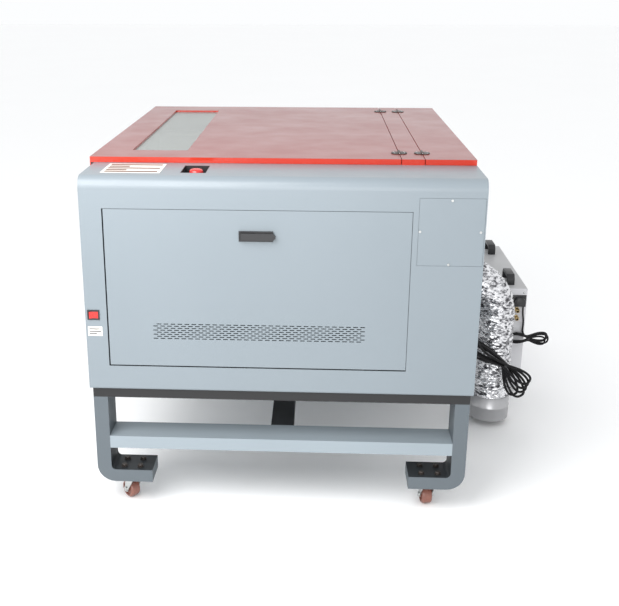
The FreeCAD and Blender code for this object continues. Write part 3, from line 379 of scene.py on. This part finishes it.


# a second colour over a finish wherever any of the zones is; every use is painted shade, a darker colour
# standing in for shadow or for less light falling on a side
def paintedShadeLayer(base, name, colour, zones):
    material = finishes[base].copy()
    material.name = name
    nodes, link = material.node_tree.nodes, material.node_tree.links.new
    shader = nodes["Principled BSDF"]
    tone = shader.inputs["Base Color"].links[0].from_socket
    masks = [placeGroup(material, zoneGroup, **zone).outputs["Mask"] for zone in zones]
    blend = nodes.new("ShaderNodeMix")
    blend.data_type = "RGBA"
    blend.inputs["B"].default_value = (*colour, 1)
    link(joinMasks(material.node_tree, "MAXIMUM", masks), blend.inputs["Factor"])
    link(tone, blend.inputs["A"])
    link(blend.outputs["Result"], shader.inputs["Base Color"])
    return material


finishes["foil"] = foilFinish()
# painted shade: the feet tops and the bottoms of the posts, 0.1088 to 0.1745 m up, are near black for the
# shadow under the machine
finishes["legs"] = paintedShadeLayer("stand", "standShadedLegPaint", (0.016, 0.019, 0.022),
                               [{"Low": (-1, -1, 0.1088), "High": (0.4935, 0.6865, 0.1745)}])
finishes["beamBase"] = finish("standBeamBase", (0.262, 0.305, 0.335), (0.236, 0.276, 0.305), 0.40, 0.52,
                              peel=0.07)
# painted shade: the top rails, over 0.320 m up, and the middle stretcher are near black for the deep shadow
# under the cabinet
finishes["beams"] = paintedShadeLayer("beamBase", "standShadedBeamPaint", (0.007, 0.007, 0.008),
                                [{"Low": (-1, -1, 0.320)}, {"High": (0.036, 0.597, 9)}])
# painted shade: the lid's top faces, over 0.9297 m up, are a darker red than its sides for how the light
# falls on them
finishes["lidShadedTop"] = paintedShadeLayer("lid", "lidShadedTopPaint", (0.215, 0.020, 0.013), [{"Low": (-1, -1, 0.9297)}])
# painted shade: the cooler's top, over 0.3797 m up, is greyer than its sides for how the light falls on it
finishes["coolerShadedTop"] = paintedShadeLayer("cooler", "coolerShadedTopPaint", (0.46, 0.46, 0.465),
                                    [{"Low": (-1, -1, 0.3797)}])
finishes["window"] = glassFinish("tintedAcrylic", (0.34, 0.37, 0.35), 0.08, 0.66)
finishes["tube"] = glassFinish("clearGlass", (0.72, 0.80, 0.84), 0.03, 0.35)
print("finishes mixed:", len(finishes))

nodeFinish = {
    "cabinet": ["near_end_panel", "far_end_panel", "front_panel", "rear_panel", "base_pan", "chamber_walls",
                "chamber_floor", "tube_bay_shelf", "side_door", "service_panel"],
    # painted shade on the lid tops
    "lidShadedTop": ["front_lid", "centre_strip", "rear_cover"],
    # painted shade on the feet tops and the post bottoms
    "legs": ["stand_posts", "stand_feet"],
    # painted shade on the top rails and the stretcher
    "beams": ["stand_beams"],
    "zinc": ["castor_plates", "door_hinge_leaves", "door_hinge_brackets", "panel_screws", "latch_cam",
             "hinge_pins", "exhaust_outlet", "castor_fork_front_near", "castor_fork_rear_near",
             "castor_fork_front_far", "castor_fork_rear_far"],
    "steel": ["lift_screws", "guide_rails"],
    "hinge": ["lid_hinge_leaves", "cover_hinge_leaves", "fixed_hinge_leaves"],
    "window": ["lid_window"],
    "tube": ["laser_tube"],
    "black": ["latch_housing", "latch_handle", "switch_bezel", "estop_well", "tube_brackets", "mains_gland",
              "power_unit", "mains_plug", "cooler_plug"],
    "red": ["switch_rocker"],
    "tread": ["castor_wheel_front_near", "castor_wheel_rear_near", "castor_wheel_front_far",
              "castor_wheel_rear_far"],
    "alloy": ["estop_collar", "laser_head"],
    "profile": ["gantry_beam", "work_bed"],
}
for finishName, names in nodeFinish.items():
    for name in names:
        node = cadNodes[name]
        if not node.material_slots:
            node.data.materials.append(finishes[finishName])
        for holder in node.material_slots:
            holder.material = finishes[finishName]


# makes the finished object, sharp where faces meet at more than the crease angle
def settle(bm, name, material, body="root", crease=35):
    mesh = bpy.data.meshes.new(name)
    bmesh.ops.remove_doubles(bm, verts=bm.verts, dist=0.00001)
    bmesh.ops.recalc_face_normals(bm, faces=bm.faces)
    for face in bm.faces:
        face.smooth = True
    for edge in bm.edges:
        if len(edge.link_faces) == 2 and edge.calc_face_angle(0) > math.radians(crease):
            edge.smooth = False
    bm.to_mesh(mesh)
    bm.free()
    mesh.materials.append(finishes[material])
    piece = bpy.data.objects.new(name, mesh)
    bpy.context.collection.objects.link(piece)
    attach(piece, body)
    return piece


def addBlock(bm, low, high, bevel=0.0, segments=2):
    made = bmesh.ops.create_cube(bm, size=1.0)["verts"]
    size = [b - a for a, b in zip(low, high)]
    centre = [(a + b) / 2 for a, b in zip(low, high)]
    bmesh.ops.scale(bm, vec=size, verts=made)
    bmesh.ops.translate(bm, vec=centre, verts=made)
    if bevel:
        edges = list({edge for vert in made for edge in vert.link_edges})
        bmesh.ops.bevel(bm, geom=edges, offset=bevel, affect="EDGES", segments=segments, profile=0.5,
                        material=-1)


# spins a (radius, height) profile about its height, which then points towards a direction
def addSpun(bm, profile, place, towards, steps=48):
    turn = Vector((0, 0, 1)).rotation_difference(Vector(towards)).to_matrix().to_4x4()
    where = Matrix.Translation(place) @ turn
    before = set(bm.verts)
    verts = [bm.verts.new((radius, 0, height)) for radius, height in profile]
    edges = [bm.edges.new(pair) for pair in zip(verts, verts[1:])]
    bmesh.ops.spin(bm, geom=verts + edges, cent=(0, 0, 0), axis=(0, 0, 1), angle=math.tau, steps=steps,
                   use_merge=True)
    made = [vert for vert in bm.verts if vert not in before]
    bmesh.ops.transform(bm, matrix=where, verts=made)


# pushes an outline drawn in the "yz" or "xz" plane through a depth
def addBar(bm, outline, plane, start, depth, bevel=0.0):
    if plane == "yz":
        verts = [bm.verts.new((start, a, b)) for a, b in outline]
        along = (depth, 0, 0)
    else:
        verts = [bm.verts.new((a, start, b)) for a, b in outline]
        along = (0, depth, 0)
    face = bm.faces.new(verts)
    grown = bmesh.ops.extrude_face_region(bm, geom=[face])["geom"]
    moved = [item for item in grown if isinstance(item, bmesh.types.BMVert)]
    bmesh.ops.translate(bm, vec=along, verts=moved)
    if bevel:
        edges = list({edge for vert in verts + moved for edge in vert.link_edges})
        bmesh.ops.bevel(bm, geom=edges, offset=bevel, affect="EDGES", segments=2, profile=0.5, material=-1)


# half widths for "tread" and "boss"; a swivel is its place and the way its wheel trails, in degrees
wheel = {"radius": 0.025, "tread": 0.014, "hub": 0.00905, "bore": 0.00405, "boss": 0.0148, "round": 0.0055,
         "trail": 0.019, "steps": 64,
         "swivels": {"front_near": (-0.403, -0.643, 135), "rear_near": (0.403, -0.643, 98),
                     "front_far": (-0.403, 0.643, 60), "rear_far": (0.403, 0.643, 100)}}


def makeWheels():
    radius, tread, hub, boss, corner = (wheel[part] for part in ("radius", "tread", "hub", "boss", "round"))
    curve = [(radius - corner * (1 - math.cos(a)), tread - corner * (1 - math.sin(a)))
             for a in map(math.radians, (90, 67, 45, 22, 0))]
    half = [(wheel["bore"], boss), (hub - 0.0008, boss), (hub, boss - 0.0008), (hub, 0.0100),
            (0.0115, 0.0092), (0.0165, 0.0092), (0.0178, 0.0100), (0.0182, 0.0136), (0.0190, tread)] + curve
    profile = half + [(out, -height) for out, height in reversed(half)] + [half[0]]
    for swivel, (x, y, turn) in wheel["swivels"].items():
        heading = math.radians(turn)
        across, back = math.cos(heading), math.sin(heading)
        bm = bmesh.new()
        centre = (x + wheel["trail"] * across, y + wheel["trail"] * back, radius)
        addSpun(bm, profile, centre, (-back, across, 0), wheel["steps"])
        tyre = settle(bm, "castorTyre_" + swivel, "tread", "wheel_" + swivel, crease=40)
        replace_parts(tyre, "castor_wheel_" + swivel)


makeWheels()
print("castor wheels turned")

# a level stretch, a quarter bend and a straight drop, with a spiral ridge and a crushed skin
duct = {"start": (0.5252, -0.075, 0.497), "level": 0.005, "bend": 0.130, "bottom": 0.0985, "radius": 0.0600,
        "around": 120, "rings": 340, "pitch": 0.011, "ridge": 0.0016, "crush": 0.0060, "swell": 0.0012,
        "calmEnds": 0.02, "facets": 62}


# middle of the hose and the way it heads, at a distance along it
def ductPlace(along):
    x, y, z = duct["start"]
    level, bend = duct["level"], duct["bend"]
    arc = bend * math.pi / 2
    if along < level:
        return Vector((x + along, y, z)), Vector((1, 0, 0))
    if along < level + arc:
        turned = (along - level) / bend
        heading = Vector((math.cos(turned), 0, -math.sin(turned)))
        return Vector((x + level + bend * math.sin(turned), y, z - bend + bend * math.cos(turned))), heading
    return Vector((x + level + bend, y, z - bend - (along - level - arc))), Vector((0, 0, -1))


def makeDuct():
    total = duct["level"] + duct["bend"] * math.pi / 2 + duct["start"][2] - duct["bend"] - duct["bottom"]
    bm = bmesh.new()
    bmesh.ops.create_cone(bm, cap_ends=False, segments=duct["around"], radius1=1, radius2=1, depth=1)
    upright = [edge for edge in bm.edges if abs(edge.verts[0].co.z - edge.verts[1].co.z) > 0.5]
    bmesh.ops.subdivide_edges(bm, edges=upright, cuts=duct["rings"], use_grid_fill=True)
    for vert in bm.verts:
        along = (vert.co.z + 0.5) * total
        centre, heading = ductPlace(along)
        side = Vector((0, 1, 0))
        up = heading.cross(side)
        angle = math.atan2(vert.co.y, vert.co.x)
        out = side * math.cos(angle) + up * math.sin(angle)
        surface = centre + out * duct["radius"]
        fade = min(1, along / duct["calmEnds"], (total - along) / duct["calmEnds"])
        wander = noise.noise(surface * 14 + Vector((3, 1, 7))) * 1.6
        spiral = math.sin(math.tau * (along / duct["pitch"] + angle / math.tau) + wander)
        flattened = Vector((surface.x, surface.y, surface.z * 1.7))
        near, farther = noise.voronoi(flattened * duct["facets"])[0][:2]
        crease = 1 - min(1, (farther - near) * 1.6)
        dent = noise.noise(surface * 30) * 0.6 + noise.noise(surface * 95) * 0.5
        crushed = duct["crush"] * fade * (0.45 * crease + 0.6 * (dent + 0.5))
        ridged = duct["ridge"] * fade * (0.5 - 0.5 * spiral)
        vert.co = centre + out * (duct["radius"] + duct["swell"] * fade - (crushed + ridged))
    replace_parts(settle(bm, "foilDuct", "foil", crease=180), "exhaust_duct")


makeDuct()
collar = {"centre": (0.660, -0.075, 0), "inner": 0.0612, "outer": 0.0625, "bead": 0.0638, "ring": 0.062,
          "low": 0.020, "high": 0.098}
bm = bmesh.new()
inner, outer, bead, level = collar["inner"], collar["outer"], collar["bead"], collar["ring"]
rim = [(inner, collar["low"]), (outer, collar["low"]), (outer, level - 0.004), (bead, level - 0.0018),
       (bead, level + 0.0018), (outer, level + 0.004), (outer, collar["high"]), (inner, collar["high"]),
       (inner, collar["low"])]
addSpun(bm, rim, collar["centre"], (0, 0, 1), steps=96)
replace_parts(settle(bm, "ductCollar", "collar", crease=50), "duct_collar")

# "box" is the housing of the worm screw
clamp = {"centre": (0.5270, -0.075, 0.497), "inner": 0.0600, "edge": 0.0614, "outer": 0.0618, "wide": 0.012,
         "round": 0.0015, "box": ((0.5265, -0.088, 0.5570), (0.5395, -0.064, 0.5670))}
bm = bmesh.new()
inner, edge, outer, wide = clamp["inner"], clamp["edge"], clamp["outer"], clamp["wide"]
addSpun(bm, [(inner, 0), (edge, 0), (outer, clamp["round"]), (outer, wide - clamp["round"]), (edge, wide),
             (inner, wide), (inner, 0)], clamp["centre"], (1, 0, 0), steps=96)
addBlock(bm, *clamp["box"], 0.002)
settle(bm, "ductClamp", "zinc")
print("duct crumpled")

stopButton = {"centre": (-0.219, -0.592), "stem": 0.008, "radius": 0.0178, "foot": 0.8862, "top": 0.917}
bm = bmesh.new()
foot, stem, radius, crown = stopButton["foot"], stopButton["stem"], stopButton["radius"], stopButton["top"]
mushroom = [(0.0002, foot), (stem, foot), (stem, 0.9012), (0.0150, 0.9020), (0.0176, 0.9040),
            (radius, 0.9062), (radius, 0.9092), (0.0168, 0.9128), (0.0140, 0.9152), (0.0095, 0.9166),
            (0.0045, 0.9169), (0.0002, crown)]
addSpun(bm, mushroom, (*stopButton["centre"], 0), (0, 0, 1), steps=64)
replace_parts(settle(bm, "stopButton", "red", body="estop"), "estop_head")

# the dished face of the lock, and the line of its key slot
latchBarrel = {"centre": (-0.031, -0.7102, 0.770),
               "keySlot": ((-0.0337, -0.7108, 0.7695), (-0.0283, -0.7098, 0.7705))}
bm = bmesh.new()
dish = [(0.0001, -0.0006), (0.0034, -0.0006), (0.0040, 0.0000), (0.0052, 0.0002), (0.0058, -0.0008),
        (0.0058, -0.003), (0.0001, -0.003)]
addSpun(bm, dish, latchBarrel["centre"], (0, -1, 0), steps=40)
addBlock(bm, *latchBarrel["keySlot"])
settle(bm, "latchBarrel", "alloy", body="latch")


# a plain plate with bars where lettering would be
def makePlate(name, low, high, bars, mark):
    bm = bmesh.new()
    addBlock(bm, low, high, 0.0002, 1)
    settle(bm, name, "pale")
    bm = bmesh.new()
    for a, b in bars:
        addBlock(bm, a, b, 0.0001, 1)
    settle(bm, name + "Bars", mark)


deckTop = 0.9152
makePlate("noticePlate", (-0.454, -0.647, 0.9150), (-0.304, -0.524, deckTop + 0.0005),
          [((-0.446, -0.640 + 0.023 * row, deckTop + 0.0004),
            (-0.446 + wide, -0.626 + 0.023 * row, deckTop + 0.0008))
           for row, wide in enumerate((0.134, 0.052, 0.134, 0.052, 0.134))], "amber")
makePlate("switchPlate", (-0.4945, -0.7004, 0.500), (-0.4575, -0.7000, 0.5255),
          [((-0.4915, -0.7008, 0.5045 + 0.0065 * row), (-0.4915 + wide, -0.7003, 0.5075 + 0.0065 * row))
           for row, wide in enumerate((0.020, 0.031, 0.026))], "ink")
print("controls and plates fitted")


def addScrew(bm, place, towards, radius, height):
    head = [(0.0001, height * 0.35), (radius * 0.42, height * 0.35), (radius * 0.5, height),
            (radius * 0.8, height * 0.82), (radius, height * 0.35), (radius, 0), (0.0001, 0)]
    addSpun(bm, head, place, towards, steps=20)


# the pin lines, the hinges' places along them, and the screws' places in a leaf
hinges = {"lidLine": 0.3055, "coverLine": 0.3665, "along": (-0.411, 0.460), "leafTop": 0.9322,
          "screwOut": 0.0135, "screwApart": 0.0105, "screwRadius": 0.0024, "screwHigh": 0.0009}
lidLine, coverLine, screwOut = hinges["lidLine"], hinges["coverLine"], hinges["screwOut"]
for name, body, rows in (("lidHingeScrews", "front_lid", (lidLine - screwOut,)),
                         ("fixedHingeScrews", "root", (lidLine + screwOut, coverLine - screwOut)),
                         ("coverHingeScrews", "rear_cover", (coverLine + screwOut,))):
    bm = bmesh.new()
    for x in rows:
        for y in hinges["along"]:
            for step in (-hinges["screwApart"], hinges["screwApart"]):
                addScrew(bm, (x, y + step, hinges["leafTop"]), (0, 0, 1), hinges["screwRadius"],
                         hinges["screwHigh"])
    settle(bm, name, "steel", body=body)


def addNut(bm, place, across, height):
    flatsToCorner = 1.732
    radius = across / flatsToCorner
    made = bmesh.ops.create_cone(bm, cap_ends=True, segments=6, radius1=radius, radius2=radius,
                                 depth=height)["verts"]
    bmesh.ops.translate(bm, vec=(place[0], place[1], place[2] + height / 2), verts=made)
    rim = list({edge for vert in made for edge in vert.link_edges})
    bmesh.ops.bevel(bm, geom=rim, offset=0.0006, affect="EDGES", segments=1, profile=0.5, material=-1)


footBolts = {"castor": (0.403, 0.643), "spacing": 0.022, "footTop": 0.109, "hole": 0.0042, "washer": 0.0092,
             "washerThick": 0.0014, "nutAcross": 0.0136, "nutHigh": 0.0056}
hole, washer, washerThick = footBolts["hole"], footBolts["washer"], footBolts["washerThick"]
ring = [(hole, 0), (washer, 0), (washer, washerThick), (hole, washerThick), (hole, 0)]
bm = bmesh.new()
for sideX in (-1, 1):
    for sideY in (-1, 1):
        for dx in (-footBolts["spacing"], footBolts["spacing"]):
            for dy in (-footBolts["spacing"], footBolts["spacing"]):
                x, y = sideX * footBolts["castor"][0] + dx, sideY * footBolts["castor"][1] + dy
                addSpun(bm, ring, (x, y, footBolts["footTop"]), (0, 0, 1), steps=24)
                addNut(bm, (x, y, footBolts["footTop"] + washerThick), footBolts["nutAcross"],
                       footBolts["nutHigh"])
settle(bm, "footNuts", "hinge")
print("fasteners placed")

# "low" and "high" are the case's corners, and the insets are from its sides
cooler = {"low": (0.536, 0.152, 0.018), "high": (0.806, 0.712, 0.380), "round": 0.003,
          "footInset": (0.035, 0.045), "handle": 0.742, "handleWide": 0.026, "handleStarts": (0.040, -0.130),
          "tail": (0.773, (0.279, 0.307)), "louvres": {"rows": 9, "first": 0.075, "apart": 0.013,
                                                       "starts": (0.215, 0.445), "long": 0.190},
          "screw": (0.0035, 0.0016), "screwLevel": 0.366, "screwInset": 0.012}


def makeCooler():
    low, high = cooler["low"], cooler["high"]
    bm = bmesh.new()
    addBlock(bm, low, high, cooler["round"], 3)
    # the case takes the finish with painted shade on its top
    case = settle(bm, "coolerCase", "coolerShadedTop")
    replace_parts(case, "cooler_case")
    bm = bmesh.new()
    insetX, insetY = cooler["footInset"]
    foot = [(0.0001, 0), (0.0145, 0), (0.016, 0.002), (0.0135, low[2]), (0.0001, low[2])]
    for x in (low[0] + insetX, high[0] - insetX):
        for y in (low[1] + insetY, high[1] - insetY):
            addSpun(bm, foot, (x, y, 0), (0, 0, 1), 32)
    settle(bm, "coolerFeet", "black")
    bm = bmesh.new()
    # up over the outside of a handle and back along its inside
    strap = [(0, 0.3785), (0, 0.402), (0.012, 0.416), (0.084, 0.416), (0.096, 0.402), (0.096, 0.3785),
             (0.084, 0.3785), (0.084, 0.399), (0.078, 0.406), (0.018, 0.406), (0.012, 0.399), (0.012, 0.3785)]
    first, second = cooler["handleStarts"]
    for start in (low[1] + first, high[1] + second):
        addBar(bm, [(start + y, z) for y, z in strap], "yz", cooler["handle"], cooler["handleWide"], 0.0012)
    settle(bm, "coolerHandles", "black")
    bm = bmesh.new()
    barb = [(0.0052, -0.001), (0.0080, -0.001), (0.0080, 0.006), (0.0064, 0.0065), (0.0064, 0.010),
            (0.0076, 0.0105), (0.0062, 0.0150), (0.0076, 0.0155), (0.0062, 0.0200), (0.0074, 0.0205),
            (0.0058, 0.0255), (0.0044, 0.0260), (0.0044, 0.002), (0.0052, -0.001)]
    tailX, tailLevels = cooler["tail"]
    for z in tailLevels:
        addSpun(bm, barb, (tailX, low[1], z), (0, -1, 0), 40)
    settle(bm, "waterTails", "brass")
    bm = bmesh.new()
    inlet = [(0.7625, 0.3225), (0.7975, 0.3225), (0.7975, 0.3420), (0.7900, 0.3515), (0.7700, 0.3515),
             (0.7625, 0.3420)]
    addBar(bm, inlet, "xz", low[1] - 0.0235, 0.0245, 0.0018)
    addBlock(bm, (0.7560, low[1] - 0.0018, 0.3165), (0.8030, low[1] + 0.0005, 0.3575), 0.0006)
    settle(bm, "coolerInlet", "black")
    # two columns of louvres pressed out of the outer side
    bm = bmesh.new()
    louvres = cooler["louvres"]
    for row in range(louvres["rows"]):
        z = louvres["first"] + louvres["apart"] * row
        slat = [(high[0] - 0.0008, z), (high[0] + 0.0024, z + 0.0008), (high[0] + 0.0024, z + 0.0030),
                (high[0] - 0.0008, z + 0.0085)]
        for start in louvres["starts"]:
            addBar(bm, slat, "xz", start, louvres["long"])
    settle(bm, "coolerLouvres", "cooler")
    bm = bmesh.new()
    inset, level = cooler["screwInset"], cooler["screwLevel"]
    for y in (low[1] + inset, (low[1] + high[1]) / 2, high[1] - inset):
        for x, way in ((low[0], -1), (high[0], 1)):
            addScrew(bm, (x, y, level), (way, 0, 0), *cooler["screw"])
    for x in (low[0] + inset, high[0] - inset):
        addScrew(bm, (x, low[1], level), (0, -1, 0), *cooler["screw"])
    settle(bm, "coolerScrews", "zinc")
    bm = bmesh.new()
    # bars where the case is lettered: left edge, length and height
    for x, wide, z in ((0.668, 0.052, 0.318), (0.668, 0.030, 0.309), (0.690, 0.020, 0.262),
                       (0.690, 0.016, 0.290)):
        addBlock(bm, (x, low[1] - 0.0004, z), (x + wide, low[1] + 0.0002, z + 0.0035))
    settle(bm, "coolerMarks", "ink")


makeCooler()
print("cooling unit built")


# an oval band about a hank, tilted with it
def makeTie(name, lead, tilt=64, thick=0.0012):
    bm = bmesh.new()
    x, z = lead["tie"]
    wide, tall, (near, far) = lead["band"]["wide"], lead["band"]["tall"], lead["band"]["deep"]
    half = (far - near) / 2
    inner = half - thick
    ring = [(half, -wide / 2), (half, wide / 2), (inner, wide / 2), (inner, -wide / 2), (half, -wide / 2)]
    addSpun(bm, ring, (0, 0, 0), (0, 0, 1), 40)
    bmesh.ops.scale(bm, vec=(tall / (2 * half), 1, 1), verts=bm.verts)
    bmesh.ops.rotate(bm, cent=(0, 0, 0), matrix=Matrix.Rotation(math.radians(tilt), 3, "Y"), verts=bm.verts)
    bmesh.ops.translate(bm, vec=(x, (near + far) / 2, z), verts=bm.verts)
    return settle(bm, name, "black")


mainsTie = makeTie("mainsTie", mainsLead)
coolerTie = makeTie("coolerTie", coolerLead)
for piece, nodes in ((mainsCord, ("mains_lead", "mains_hank")),
                     (coolerCord, ("cooler_lead", "cooler_hank"))):
    piece.data.materials.append(finishes["sheath"])
    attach(piece, "root")
    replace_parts(piece, *nodes)
print("leads finished")

floorMaterial = bpy.data.materials.new("paleFloor")
floorMaterial.use_nodes = True
floorShader = floorMaterial.node_tree.nodes["Principled BSDF"]
floorTone = placeGroup(floorMaterial, toneGroup, Light=(0.99, 0.99, 0.99, 1), Dark=(0.97, 0.97, 0.97, 1),
                       Scale=0.8)
floorMaterial.node_tree.links.new(floorTone.outputs["Color"], floorShader.inputs["Base Color"])
floorShader.inputs["Roughness"].default_value = 0.7
floorShader.inputs["Specular IOR Level"].default_value = 0.2
bm = bmesh.new()
bmesh.ops.create_grid(bm, x_segments=1, y_segments=1, size=30)  # metres each way
floorMesh = bpy.data.meshes.new("studioFloor")
bm.to_mesh(floorMesh)
bm.free()
floorMesh.materials.append(floorMaterial)
floor = bpy.data.objects.new("studioFloor", floorMesh)
bpy.context.collection.objects.link(floor)

lamps = {
    "softKey": {"place": (-0.8, -1.65, 1.85), "size": 1.5, "power": 46},
    "frontSheet": {"place": (-0.4, -6.0, 1.3), "size": 3.6, "power": 120},
}
for name, setup in lamps.items():
    data = bpy.data.lights.new(name, "AREA")
    data.energy = setup["power"]
    data.shape = "SQUARE"
    data.size = setup["size"]
    lamp = bpy.data.objects.new(name, data)
    lamp.location = setup["place"]
    aim = Vector((0, 0, 0.6)) - Vector(setup["place"])
    lamp.rotation_euler = aim.to_track_quat("-Z", "Y").to_euler()
    bpy.context.collection.objects.link(lamp)
world = bpy.data.worlds.new("studioAir")
world.use_nodes = True
world.node_tree.nodes["Background"].inputs["Color"].default_value = (0.98, 0.99, 1.0, 1)
world.node_tree.nodes["Background"].inputs["Strength"].default_value = 1.0
bpy.context.scene.world = world
bpy.context.scene.view_settings.view_transform = "Standard"

print("scene ready")
